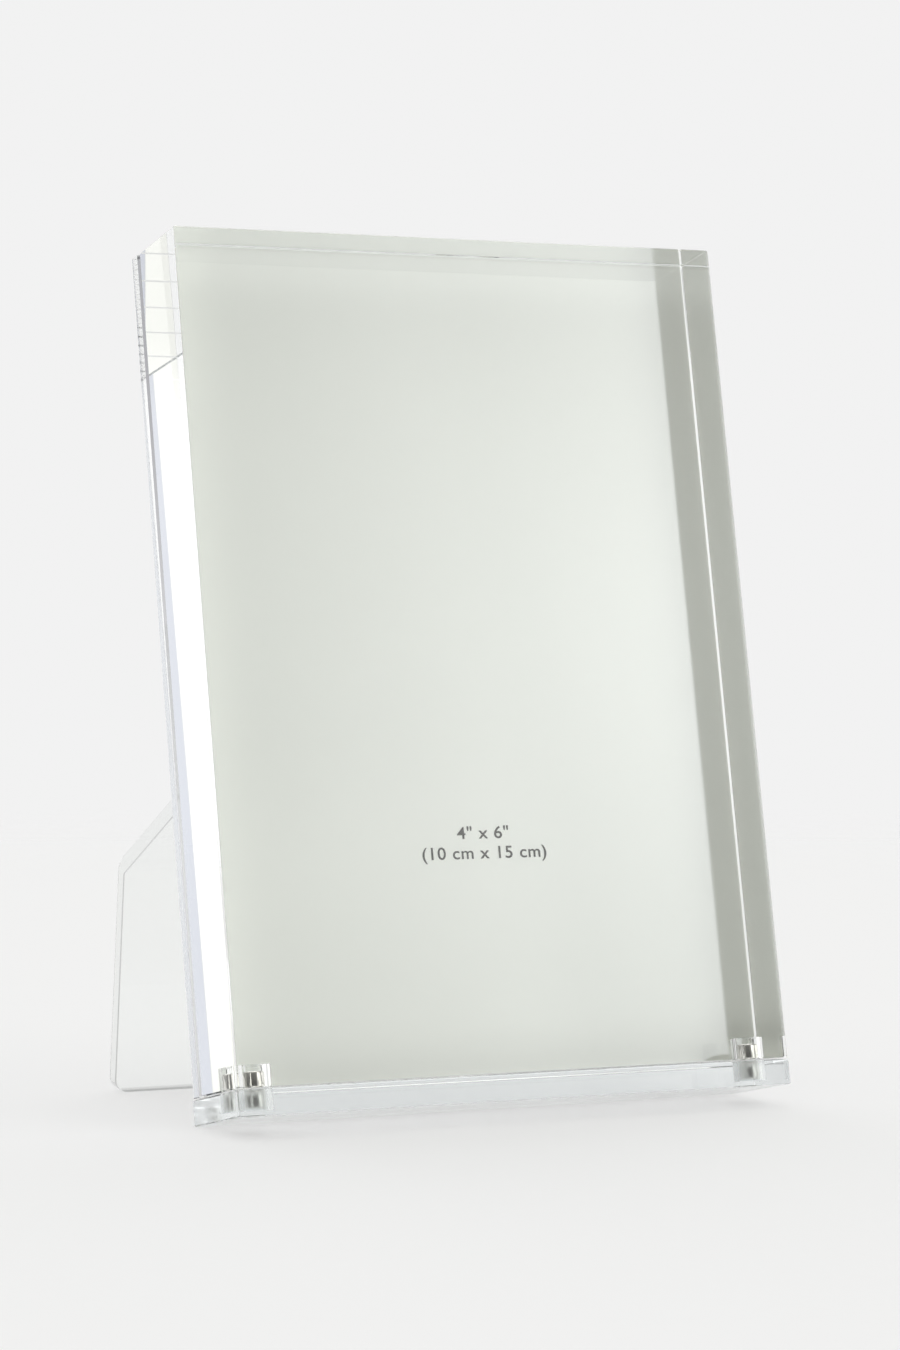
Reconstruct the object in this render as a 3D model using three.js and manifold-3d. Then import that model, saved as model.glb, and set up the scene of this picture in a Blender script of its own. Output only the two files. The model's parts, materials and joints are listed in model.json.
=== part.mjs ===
// Acrylic block photo frame: a thick clear front block stands on a clear bar, held by two pairs of
// magnets, with the photograph between it and a clear back plate, and a bent clear leg behind.
// Millimetres, +Z up. Looking along +Y shows the face, with +X to the right. Z = 0 is the table.
import * as THREE from 'three';
import { mergeVertices } from 'three/addons/utils/BufferGeometryUtils.js';
import Module from 'manifold-3d';

const wasm = await Module();
wasm.setup();

// Driving dimensions: the face
const FRAME_WIDTH = 108;
const FACE_HEIGHT = 157.5;
const LEAN_DEG = 11.4;
const BLOCK_THICKNESS = 17.3;
const BACK_PLATE_THICKNESS = 3.2;
const BAR_HEIGHT = 4.6;
const BAR_OVERHANG = 0.2;

// Driving dimensions: the card between block and back plate
const CARD_SIDE_MARGIN = 0.45;
const CARD_TOP_MARGIN = 0.1;
const CARD_THICKNESS = 0.3;
const CARD_SKEW_DEG = 0.1;

// Driving dimensions: magnets and their pockets
const MAGNET_DIAMETER = 5.8;
const MAGNET_HEIGHT = 3.1;
const MAGNET_INSET = 5.2;
const POCKET_CLEARANCE = 0.3;
const POCKET_HEADROOM = 1.1;
const BAR_POCKET_FLOOR = 0.9;

// Driving dimensions: the bent leg
const LEG_SIDE_INSET = 3.9;
const LEG_THICKNESS = 3.2;
const LEG_BEND_HEIGHT = 60;
const LEG_FLANGE_LENGTH = 30;
const LEG_ARM_LENGTH = 37.6;
const LEG_ARM_DROP_DEG = 25.2;
const LEG_FOOT_SPLAY_DEG = 6.8;
const LEG_INSIDE_RADIUS = 0.5;
const LEG_CORNER_RADIUS = 2.5;

// Finish and fits
const BLOCK_ARRIS = 0.15;
const SHEET_ARRIS = 0.15;
const MAGNET_ARRIS = 0.2;
const SEAT_GAP = 0.3;
const ROUND_SEGMENTS = 96;
const BEND_SEGMENTS = 24;

// Worked out from the driving dimensions. Depth runs back from the face, rise runs up the face.
const LEAN = THREE.MathUtils.degToRad(LEAN_DEG);
const BLOCK_HEIGHT = FACE_HEIGHT - BAR_HEIGHT - SEAT_GAP;
const BLOCK_RISE = BAR_HEIGHT + SEAT_GAP;
const CARD_SKEW = THREE.MathUtils.degToRad(CARD_SKEW_DEG);
const CARD_WIDTH = FRAME_WIDTH - 2 * CARD_SIDE_MARGIN;
const CARD_LIFT = CARD_WIDTH * Math.sin(CARD_SKEW);
const CARD_HEIGHT = (BLOCK_HEIGHT - CARD_TOP_MARGIN - CARD_LIFT) / Math.cos(CARD_SKEW);
const CARD_DEPTH = BLOCK_THICKNESS + SEAT_GAP;
const BACK_PLATE_DEPTH = CARD_DEPTH + CARD_THICKNESS + SEAT_GAP;
const TOTAL_DEPTH = BACK_PLATE_DEPTH + BACK_PLATE_THICKNESS;
const LEG_WIDTH = FRAME_WIDTH - 2 * LEG_SIDE_INSET;
const MAGNET_X = FRAME_WIDTH / 2 - MAGNET_INSET;
const MAGNET_DEPTH = BLOCK_THICKNESS / 2;
const POCKET_RADIUS = MAGNET_DIAMETER / 2 + POCKET_CLEARANCE;
const BAR_MAGNET_HEIGHT = Math.min(MAGNET_HEIGHT, BAR_HEIGHT - BAR_POCKET_FLOOR - SEAT_GAP);

// Materials
const clearAcrylic = (name) => new THREE.MeshStandardMaterial({
  name, color: 0xe4ecef, roughness: 0.04, metalness: 0, transparent: true, opacity: 0.35,
});
const cardStock = () => new THREE.MeshStandardMaterial({
  name: 'card', color: 0xdcdedb, roughness: 0.6, metalness: 0,
});
const nickel = () => new THREE.MeshStandardMaterial({
  name: 'nickel', color: 0xc9c6c0, roughness: 0.22, metalness: 1,
});

// Solid helpers
function toManifold(geometry) {
  const plain = new THREE.BufferGeometry();
  plain.setAttribute('position', geometry.getAttribute('position'));
  if (geometry.index) plain.setIndex(geometry.index);
  const merged = mergeVertices(plain, 1e-4);
  return new wasm.Manifold(new wasm.Mesh({
    numProp: 3,
    vertProperties: new Float32Array(merged.getAttribute('position').array),
    triVerts: new Uint32Array(merged.index.array),
  }));
}

function toGeometry(solid) {
  const mesh = solid.getMesh();
  const geometry = new THREE.BufferGeometry();
  geometry.setAttribute('position', new THREE.BufferAttribute(new Float32Array(mesh.vertProperties), 3));
  geometry.setIndex(new THREE.BufferAttribute(new Uint32Array(mesh.triVerts), 1));
  geometry.computeVertexNormals();
  return geometry;
}

function cutAway(geometry, cutters) {
  let solid = toManifold(geometry);
  for (const cutter of cutters) solid = solid.subtract(toManifold(cutter));
  return toGeometry(solid);
}

// A slab with every edge chamfered. Its box runs from x = -width / 2, y = 0, z = 0.
function arrisedSlab(width, depth, height, arris) {
  const x = width / 2 - arris;
  const shape = new THREE.Shape();
  shape.moveTo(-x, arris * 2);
  shape.lineTo(-x + arris, arris);
  shape.lineTo(x - arris, arris);
  shape.lineTo(x, arris * 2);
  shape.lineTo(x, height - arris * 2);
  shape.lineTo(x - arris, height - arris);
  shape.lineTo(-x + arris, height - arris);
  shape.lineTo(-x, height - arris * 2);
  shape.closePath();
  const slab = new THREE.ExtrudeGeometry(shape, {
    depth: depth - 2 * arris,
    bevelEnabled: true,
    bevelSize: arris,
    bevelThickness: arris,
    bevelSegments: 1,
  });
  slab.rotateX(Math.PI / 2);
  slab.translate(0, depth - arris, 0);
  return slab;
}

// An upright disc with chamfered rims, standing on z = 0
function disc(radius, height, arris) {
  const profile = [
    [0, 0], [radius - arris, 0], [radius, arris],
    [radius, height - arris], [radius - arris, height], [0, height],
  ].map(([r, z]) => new THREE.Vector2(r, z));
  const lathe = new THREE.LatheGeometry(profile, ROUND_SEGMENTS);
  lathe.rotateX(Math.PI / 2);
  return lathe;
}

// The bore of a magnet pocket, from z = base up to z = base + height
function pocketCutter(x, depth, base, height) {
  const cutter = new THREE.CylinderGeometry(POCKET_RADIUS, POCKET_RADIUS, height, ROUND_SEGMENTS);
  cutter.rotateX(Math.PI / 2);
  cutter.translate(x, depth, base + height / 2);
  return cutter;
}

// Pieces that lean with the face
function frontBlock() {
  const overcut = 1;
  const depth = MAGNET_HEIGHT + POCKET_HEADROOM + overcut;
  const bores = [-1, 1].map((side) => pocketCutter(side * MAGNET_X, MAGNET_DEPTH, -overcut, depth));
  return cutAway(arrisedSlab(FRAME_WIDTH, BLOCK_THICKNESS, BLOCK_HEIGHT, BLOCK_ARRIS), bores);
}

function baseBar() {
  const overcut = 1;
  const floor = BAR_HEIGHT - BAR_MAGNET_HEIGHT - SEAT_GAP;
  const bores = [-1, 1].map((side) => (
    pocketCutter(side * MAGNET_X, MAGNET_DEPTH, floor, BAR_MAGNET_HEIGHT + SEAT_GAP + overcut)
  ));
  const bar = arrisedSlab(FRAME_WIDTH + 2 * BAR_OVERHANG, TOTAL_DEPTH, BAR_HEIGHT, SHEET_ARRIS);
  return cutAway(bar, bores);
}

function backPlate() {
  return arrisedSlab(FRAME_WIDTH, BACK_PLATE_THICKNESS, BLOCK_HEIGHT, SHEET_ARRIS);
}

function photoCard() {
  const card = new THREE.BoxGeometry(CARD_WIDTH, CARD_THICKNESS, CARD_HEIGHT);
  card.rotateY(-CARD_SKEW);
  // Turned a little in its plane, the card stands on one corner
  card.translate(0, CARD_THICKNESS / 2, (BLOCK_HEIGHT - CARD_TOP_MARGIN) / 2);
  return card;
}

// The leg, which is one sheet bent twice. Its side view is drawn in the (y, z) plane of the table.
const direction = (angle) => new THREE.Vector2(Math.cos(angle), Math.sin(angle));

function legCentreLine() {
  const up = direction(Math.PI / 2 - LEAN);
  const back = direction(-LEAN);
  const arm = direction(-THREE.MathUtils.degToRad(LEG_ARM_DROP_DEG));
  const foot = direction(-Math.PI / 2 + THREE.MathUtils.degToRad(LEG_FOOT_SPLAY_DEG));
  const bend = new THREE.Vector2()
    .addScaledVector(up, LEG_BEND_HEIGHT)
    .addScaledVector(back, SEAT_GAP + LEG_THICKNESS / 2);
  const top = bend.clone().addScaledVector(up, LEG_FLANGE_LENGTH);
  const knee = bend.clone().addScaledVector(arm, LEG_ARM_LENGTH);
  const lowestCorner = (LEG_THICKNESS / 2) * Math.abs(foot.x);
  const toe = knee.clone().addScaledVector(foot, (knee.y - lowestCorner) / -foot.y);
  return [top, bend, knee, toe];
}

// One side of a bent strip: the centre line set off by `offset`, with each corner an arc
function stripSide(line, offset, halfThickness) {
  const side = [];
  const normalOf = (a, b) => new THREE.Vector2(b.y - a.y, a.x - b.x).normalize();
  side.push(line[0].clone().addScaledVector(normalOf(line[0], line[1]), offset));
  for (let i = 1; i < line.length - 1; i += 1) {
    const before = line[i].clone().sub(line[i - 1]).normalize();
    const after = line[i + 1].clone().sub(line[i]).normalize();
    const turn = Math.atan2(before.cross(after), before.dot(after));
    const middleRadius = LEG_INSIDE_RADIUS + halfThickness;
    const setback = middleRadius * Math.tan(Math.abs(turn) / 2);
    const inward = new THREE.Vector2(-before.y, before.x).multiplyScalar(Math.sign(turn));
    const centre = line[i].clone().addScaledVector(before, -setback).addScaledVector(inward, middleRadius);
    const radius = middleRadius + offset * Math.sign(turn);
    const start = Math.atan2(-inward.y, -inward.x);
    for (let k = 0; k <= BEND_SEGMENTS; k += 1) {
      const angle = start + (turn * k) / BEND_SEGMENTS;
      side.push(centre.clone().addScaledVector(direction(angle), radius));
    }
  }
  const last = line.length - 1;
  side.push(line[last].clone().addScaledVector(normalOf(line[last - 1], line[last]), offset));
  return side;
}

// What is cut off one lower corner of the foot, to round it in the plane of the sheet
function cornerCutter(side, toe, foot) {
  const r = LEG_CORNER_RADIUS;
  const reach = 1;
  const square = new THREE.Shape();
  square.moveTo(r, 0);
  square.absarc(0, 0, r, 0, Math.PI / 2, false);
  square.lineTo(0, r + reach);
  square.lineTo(r + reach, r + reach);
  square.lineTo(r + reach, 0);
  square.closePath();
  const depth = LEG_THICKNESS * 3;
  const cutter = new THREE.ExtrudeGeometry(square, { depth, bevelEnabled: false, curveSegments: 12 });
  cutter.translate(0, 0, -depth / 2);
  const across = new THREE.Vector3(side, 0, 0);
  const along = new THREE.Vector3(0, foot.x, foot.y);
  const through = new THREE.Vector3().crossVectors(across, along);
  const turned = new THREE.Matrix4().makeBasis(across, along, through);
  cutter.applyMatrix4(turned);
  const centre = toe.clone().addScaledVector(foot, -r);
  cutter.translate(side * (LEG_WIDTH / 2 - r), centre.x, centre.y);
  return cutter;
}

function easelLeg() {
  const line = legCentreLine();
  const half = LEG_THICKNESS / 2;
  const outline = [...stripSide(line, half, half), ...stripSide(line, -half, half).reverse()];
  const strip = new THREE.ExtrudeGeometry(new THREE.Shape(outline), {
    depth: LEG_WIDTH,
    bevelEnabled: false,
  });
  const sideView = new THREE.Matrix4().makeBasis(
    new THREE.Vector3(0, 1, 0),
    new THREE.Vector3(0, 0, 1),
    new THREE.Vector3(1, 0, 0),
  );
  strip.applyMatrix4(sideView);
  strip.translate(-LEG_WIDTH / 2, 0, 0);
  const toe = line[3];
  const foot = toe.clone().sub(line[2]).normalize();
  return cutAway(strip, [-1, 1].map((side) => cornerCutter(side, toe, foot)));
}

// Assembly. The leaning group's origin is the face's lower edge, and the table is met by the
// lower back edge of the bar, which stands at y = backEdge.
const footReach = Math.max(...stripSide(legCentreLine(), -LEG_THICKNESS / 2, LEG_THICKNESS / 2)
  .map((point) => point.x));
const overallDepth = TOTAL_DEPTH * Math.cos(LEAN) + footReach;
const backEdge = -overallDepth / 2 + TOTAL_DEPTH * Math.cos(LEAN);

const frame = new THREE.Group();
const leaning = new THREE.Group();
leaning.rotation.x = -LEAN;
leaning.position.set(0, -overallDepth / 2, TOTAL_DEPTH * Math.sin(LEAN));
frame.add(leaning);

function place(parent, name, geometry, material, x, y, z) {
  const mesh = new THREE.Mesh(geometry, material);
  mesh.name = name;
  mesh.position.set(x, y, z);
  parent.add(mesh);
}

place(leaning, 'front_block', frontBlock(), clearAcrylic('block_acrylic'), 0, 0, BLOCK_RISE);
place(leaning, 'base_bar', baseBar(), clearAcrylic('bar_acrylic'), 0, 0, 0);
place(leaning, 'back_plate', backPlate(), clearAcrylic('plate_acrylic'), 0, BACK_PLATE_DEPTH, BLOCK_RISE);
place(leaning, 'photo_insert', photoCard(), cardStock(), 0, CARD_DEPTH, BLOCK_RISE);
for (const [side, word] of [[-1, 'left'], [1, 'right']]) {
  const x = side * MAGNET_X;
  const radius = MAGNET_DIAMETER / 2;
  const upper = disc(radius, MAGNET_HEIGHT, MAGNET_ARRIS);
  const lower = disc(radius, BAR_MAGNET_HEIGHT, MAGNET_ARRIS);
  place(leaning, `upper_magnet_${word}`, upper, nickel(), x, MAGNET_DEPTH, BLOCK_RISE);
  place(leaning, `lower_magnet_${word}`, lower, nickel(), x, MAGNET_DEPTH, BAR_HEIGHT - BAR_MAGNET_HEIGHT);
}
place(frame, 'easel_leg', easelLeg(), clearAcrylic('leg_acrylic'), 0, backEdge, 0);

export default frame;
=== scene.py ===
import json
import math

import bpy
import numpy as np
from bpy.props import FloatProperty, FloatVectorProperty, PointerProperty
from mathutils import Matrix, Vector


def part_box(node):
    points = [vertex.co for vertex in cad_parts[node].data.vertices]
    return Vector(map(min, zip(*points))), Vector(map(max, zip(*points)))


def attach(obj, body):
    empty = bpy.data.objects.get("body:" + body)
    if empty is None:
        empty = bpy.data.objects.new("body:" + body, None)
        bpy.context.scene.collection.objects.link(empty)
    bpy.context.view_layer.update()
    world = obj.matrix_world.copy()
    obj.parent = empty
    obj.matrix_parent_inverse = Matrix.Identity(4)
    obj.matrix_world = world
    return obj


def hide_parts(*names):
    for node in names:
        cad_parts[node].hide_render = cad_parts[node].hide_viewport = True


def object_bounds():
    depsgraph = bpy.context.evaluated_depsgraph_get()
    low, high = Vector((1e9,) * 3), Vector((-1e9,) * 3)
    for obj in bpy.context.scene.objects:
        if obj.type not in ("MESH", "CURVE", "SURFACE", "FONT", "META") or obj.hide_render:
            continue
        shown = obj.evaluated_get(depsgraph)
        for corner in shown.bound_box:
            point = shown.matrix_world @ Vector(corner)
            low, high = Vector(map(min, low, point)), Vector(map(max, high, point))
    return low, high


bl_info = {
    "name": "Acrylic Block Photo Frame",
    "version": (1, 0, 0),
    "blender": (4, 5, 0),
    "location": "View3D > Sidebar > Photo Frame",
    "description": "Dresses a clear acrylic photo frame: block, stand, leg, card, magnets and stage",
    "category": "Object",
}

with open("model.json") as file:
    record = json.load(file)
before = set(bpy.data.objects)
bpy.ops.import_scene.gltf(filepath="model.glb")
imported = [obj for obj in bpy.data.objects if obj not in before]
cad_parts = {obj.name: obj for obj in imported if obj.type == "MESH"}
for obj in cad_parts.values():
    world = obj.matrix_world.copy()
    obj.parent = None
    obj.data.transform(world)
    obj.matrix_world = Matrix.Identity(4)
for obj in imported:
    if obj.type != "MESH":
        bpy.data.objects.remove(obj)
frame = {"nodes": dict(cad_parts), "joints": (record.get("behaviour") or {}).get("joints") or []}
CAD_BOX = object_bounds()
MM = 0.001
AXES = {joint["name"]: Vector(joint["axis"]) for joint in frame["joints"]}
FACE_OUT, FACE_UP = AXES["block_off"], AXES["insert_lift"]
ACROSS, BACK, UP = np.array([1.0, 0, 0]), -np.array(FACE_OUT), np.array(FACE_UP)
ACRYLIC_INDEX = 1.49
# Folds sharper than this stay sharp
FOLD_ANGLE = math.radians(30)
# Steps along each bend and each rounded corner of the leg
BEND_STEPS, CORNER_STEPS = 24, 12
# Height of the figures as a share of the type's size, their spacing, the half depth of the ink and how
# far the middle of the ink stands before the solid card's face
FIGURE_SHARE, FIGURE_SPACING, INK_DEPTH, INK_STAND = 0.7, 1.07, 0.004 * MM, 0.008 * MM
# Bounces that light may make in all, and in clear or shiny surfaces
MAX_BOUNCES, GLASS_BOUNCES = 40, 32
# Bounces between which light begins to count as having crossed the glass from edge to edge
MANY_TURNS = (5.0, 6.0)

# Cosines of the angle between a surface and a way, at which it begins to count as facing that way and at
# which it fully does
FACING = (0.8, 0.9)
FACING_DOWN = (0.85, 0.95)
FACING_OUT = (0.9, 0.95)
POCKET_WALL = (0.3, 0.6)
LEG_CORNER, LEG_END = (0.15, 0.35), (0.95, 0.98)
MOUTH_LEFT, MOUTH_END, MOUTH_FRONT = (0.25, 0.35), (0.93, 0.97), (0.2, 0.3)

# Tool marks up a drilled pocket's wall, in radians of their wave for each metre
TOOL_MARKS = 14000.0

# Heights on the back plate between which the painted shade of the slot on its mouth turns from pale to dark
MOUTH_SHADE_RISE = (35 * MM, 140 * MM)

# Half width of the table, points along each side of it, the distances from its middle over which it
# fades out, and those from the middle of the painted reflection on it over which that fades
TABLE_REACH, TABLE_POINTS, TABLE_FADE, PAINTED_GLEAM_FADE = 1.4, 41, (0.5, 1.1), (0.06, 0.12)

# Soft glows of the room: way turned from -Y towards +X, height above level, power of the cosine, level
GLOWS = (
    (math.radians(36), math.radians(21), 100, 1.7),
    (math.radians(35), math.radians(21), 40, 0.6),
    (math.radians(27), math.radians(21), 150, 0.6),
    (math.radians(60), math.radians(-10), 10, 0.9))

# The lamp's soft border as a share of its cone, the width of the camera's sensor in millimetres, and the
# nearest and farthest that the camera sees
KEY_BLEND, SENSOR_WIDTH, CLIP = 0.35, 36, (0.01, 20)

# Edges of the room's parts. Each pair is where a part begins and where it is full, as a part of a unit
# vector, or as a way turned from -Y or +Y towards +X in radians where the name says turned. The strip's
# lean is a turn over its rise, and a further turn for each radian of height.
TOWARD_CAMERA, CAMERA_DIMMED = (0.78, 0.93), 0.7
RIGHT_SIDE, LEFT_SIDE, LEFT_SHARE, SIDES_TOP = (0.82, 0.95), (0.5, 0.7), 0.3, (0.3, 0.5)
FRONT_TO_BACK = (-0.2, 0.3)
STRIP_FOOT, STRIP_HEAD, STRIP_FRONT = (-0.16, -0.1), (0.42, 0.5), (-0.2, 0.0)
STRIP_TURNED_END, STRIP_SHARP, STRIP_BORDER = (0.47, 0.5), (0.0, 0.0004), (-0.035, -0.031)
STRIP_LEAN_RISE, STRIP_LEAN = (0.0, 0.1), (0.0088, 0.0723)
STRIP_BELOW, STRIP_BELOW_EXTRA = (-0.03, 0.0), 0.14
STRIP_DIMMING, STRIP_DIMMED = (0.03, 0.22), 0.75
STRIP_BRIGHT_FOOT, STRIP_BRIGHT_HEAD, STRIP_BRIGHT = (0.2, 0.25), (0.29, 0.33), 0.4
DARK_LEFT, DARK_ABOVE = (0.5, 0.66), (0.05, 0.075)
BACK_STRIP_TURNED, BACK_STRIP_TURNED_END, BACK_STRIP_HEAD = (0.348, 0.355), (0.43, 0.44), (0.12, 0.16)


# Properties

class FrameSizes(bpy.types.PropertyGroup):
    """Sizes of the pieces and details made here. The leg's are those of its CAD solid."""
    leg_thickness: FloatProperty(
        name="Leg thickness", description="Thickness of the bent sheet",
        default=3.2 * MM, unit="LENGTH")
    leg_flange: FloatProperty(
        name="Leg flange", description="Length of the part cemented to the back plate",
        default=30 * MM, unit="LENGTH")
    leg_arm: FloatProperty(
        name="Leg arm", description="Length of the part that reaches back",
        default=37.6 * MM, unit="LENGTH")
    leg_arm_drop: FloatProperty(
        name="Arm drop", description="How far the arm points below level",
        default=math.radians(25.2), subtype="ANGLE")
    leg_foot_splay: FloatProperty(
        name="Foot splay", description="How far the foot leans out from upright",
        default=math.radians(6.8), subtype="ANGLE")
    leg_bend_radius: FloatProperty(
        name="Bend radius", description="Inside radius of both bends",
        default=0.5 * MM, unit="LENGTH")
    leg_corner: FloatProperty(
        name="Foot corner", description="Radius of the foot's two lower corners",
        default=2.5 * MM, unit="LENGTH")
    sheet_arris: FloatProperty(
        name="Sheet arris", description="Rounding of the leg's long edges",
        default=0.25 * MM, unit="LENGTH")
    plate_arris: FloatProperty(
        name="Plate arris", description="Width of the flat taken off the back plate's edges",
        default=0.12 * MM, unit="LENGTH")
    slot_mouth: FloatProperty(
        name="Slot mouth", description="Width of the flat at the front of the back plate's left edge",
        default=0.45 * MM, unit="LENGTH")
    rim_radius: FloatProperty(
        name="Magnet rim", description="Rounding of the magnets' rims",
        default=0.3 * MM, unit="LENGTH")
    pocket_clearance: FloatProperty(
        name="Pocket clearance", description="From a magnet's wall to its pocket's wall",
        default=0.3 * MM, unit="LENGTH")
    card_trim: FloatProperty(
        name="Card trim", description="Share of the card's width left off at each side, so that it stands "
        "square where the solid is turned a little", default=0.0012, min=0, max=0.1)
    card_shift: FloatProperty(
        name="Card shift", description="How far the card lies to the right of the middle",
        default=0.24 * MM, unit="LENGTH")
    card_thickness: FloatProperty(
        name="Card thickness", description="Thickness of the card", default=0.2 * MM, unit="LENGTH")
    card_wave: FloatProperty(
        name="Card wave", description="How far the card's face wanders from flat",
        default=0.04 * MM, unit="LENGTH")
    figure_height: FloatProperty(
        name="Figure height", description="Height of the printed figures",
        default=2.2 * MM, unit="LENGTH")
    figure_weight: FloatProperty(
        name="Figure weight", description="How far the strokes are widened at each side",
        default=0.03 * MM, unit="LENGTH")
    figure_stretch: FloatProperty(
        name="Figure stretch", description="Width of the figures against the typeface's own",
        default=1.12, min=0.1)
    figure_place: FloatVectorProperty(
        name="Figure place", description="Middle of the upper printed line, across and up the face",
        default=(1.8 * MM, 45.8 * MM), size=2, subtype="XYZ")
    figure_step: FloatProperty(
        name="Figure step", description="From the upper printed line down to the lower",
        default=3.65 * MM, unit="LENGTH")


class FrameColours(bpy.types.PropertyGroup):
    """Colours of the finishes"""
    acrylic: FloatVectorProperty(
        name="Acrylic", description="Tint of the clear acrylic",
        default=(0.985, 0.995, 0.992), size=3, min=0, max=1, subtype="COLOR")
    # The bar's tint, darker than the block's, is painted shade on the same clear acrylic
    bar: FloatVectorProperty(
        name="Bar", description="Colour of the light that crosses the bar",
        default=(0.90, 0.93, 0.94), size=3, min=0, max=1, subtype="COLOR")
    sheet: FloatVectorProperty(
        name="Sheet", description="Colour of the light that crosses the bent leg",
        default=(0.992, 0.998, 0.994), size=3, min=0, max=1, subtype="COLOR")
    # Painted shade of the slot, carried by the saw-cut edge: dark at the top and pale at the bar
    slot_top: FloatVectorProperty(
        name="Slot top", description="Colour of the saw-cut edge of the card's slot at the top",
        default=(0.22, 0.22, 0.24), size=3, min=0, max=1, subtype="COLOR")
    slot_foot: FloatVectorProperty(
        name="Slot foot", description="Colour of the saw-cut edge of the card's slot at the bar",
        default=(0.75, 0.75, 0.77), size=3, min=0, max=1, subtype="COLOR")
    card: FloatVectorProperty(
        name="Card", description="Face of the card",
        default=(0.80, 0.815, 0.755), size=3, min=0, max=1, subtype="COLOR")
    ink: FloatVectorProperty(
        name="Ink", description="Printed figures",
        default=(0.012, 0.012, 0.013), size=3, min=0, max=1, subtype="COLOR")
    nickel: FloatVectorProperty(
        name="Nickel", description="Plating of the magnets",
        default=(0.80, 0.78, 0.74), size=3, min=0, max=1, subtype="COLOR")
    floor: FloatVectorProperty(
        name="Floor", description="Table top",
        default=(0.9, 0.9, 0.9), size=3, min=0, max=1, subtype="COLOR")


class StageSettings(bpy.types.PropertyGroup):
    """Camera and light"""
    view_azimuth: FloatProperty(
        name="Azimuth", description="Way the camera looks, turned from +Y towards +X",
        default=math.radians(25.28), subtype="ANGLE")
    view_pitch: FloatProperty(
        name="Pitch", description="How far the camera looks down",
        default=math.radians(0.89), subtype="ANGLE")
    camera_place: FloatVectorProperty(
        name="Camera place", description="Where the camera stands",
        default=(-298.12 * MM, -638.05 * MM, 89.53 * MM), size=3, subtype="TRANSLATION")
    lens: FloatProperty(name="Lens", description="Focal length in millimetres", default=101.59)
    background: FloatProperty(
        name="Background", description="Brightness behind the object, where 1 is white",
        default=0.887, min=0, max=1)
    ambient: FloatVectorProperty(
        name="Ambient", description="Colour of the room's light in front of the face",
        default=(1.0, 1.0, 0.95), size=3, min=0, subtype="COLOR")
    front_light: FloatProperty(
        name="Front light", description="Brightness of the room in front of the face",
        default=0.10, min=0)
    top_light: FloatProperty(
        name="Top light", description="Extra brightness overhead", default=0.72, min=0)
    back_light: FloatProperty(
        name="Back light", description="Brightness behind the object for glass, metal and the floor",
        default=0.96, min=0)
    side_light: FloatProperty(
        name="Side light", description="Extra brightness at both sides of the object",
        default=0.8, min=0)
    back_strip: FloatProperty(
        name="Back strip", description="Brightness of an upright strip behind, at the right",
        default=1.28, min=0)
    back_top_light: FloatProperty(
        name="Back top light", description="Extra brightness overhead behind the face",
        default=1.4, min=0)
    strip_light: FloatProperty(
        name="Strip light", description="Extra brightness of an upright strip at the right",
        default=0.88, min=0)
    strip_azimuth: FloatProperty(
        name="Strip azimuth", description="Left edge of the strip, turned from -Y towards +X",
        default=math.radians(20.7), subtype="ANGLE")
    strip_edge: FloatVectorProperty(
        name="Strip edge", description="Colour of the strip's dimmer left border, for a level of 1",
        default=(0.73, 0.755, 0.84), size=3, min=0, subtype="COLOR")
    side_dark: FloatProperty(
        name="Dark sides", description="Brightness left beside the backdrop", default=0.2, min=0, max=1)
    key_azimuth: FloatProperty(
        name="Key azimuth", description="Way to the lamp, turned from -Y towards +X",
        default=math.radians(18), subtype="ANGLE")
    key_rise: FloatProperty(
        name="Key rise", description="How far above the face's middle the lamp stands",
        default=-10 * MM, unit="LENGTH")
    key_distance: FloatProperty(
        name="Key distance", description="From the lamp to the face's right edge", default=0.15,
        unit="LENGTH")
    key_radius: FloatProperty(
        name="Key radius", description="Radius of the lamp", default=4 * MM, unit="LENGTH")
    key_cone: FloatProperty(
        name="Key cone", description="Full angle of the lamp's cone", default=math.radians(78),
        subtype="ANGLE")
    key_light: FloatProperty(
        name="Key light", description="Brightness that the lamp gives a white sheet facing it",
        default=0.548, min=0)
    key_colour: FloatVectorProperty(
        name="Key colour", description="Colour of the lamp",
        default=(0.97, 0.97, 1.11), size=3, min=0, max=2, subtype="COLOR")
    # The gleam is a painted reflection: a glowing patch on the table that only glass shows
    gleam_place: FloatVectorProperty(
        name="Gleam place", description="Middle of the table's gleam, which only glass shows",
        default=(0.18, 0.27), size=2, subtype="XYZ")
    gleam_light: FloatProperty(
        name="Gleam light", description="Brightness of the table's gleam", default=1.2, min=0)
    floor_shade: FloatProperty(
        name="Floor shade", description="How much of the floor's brightness answers to light",
        default=0.5, min=0, max=1)


# Shader maths

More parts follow.
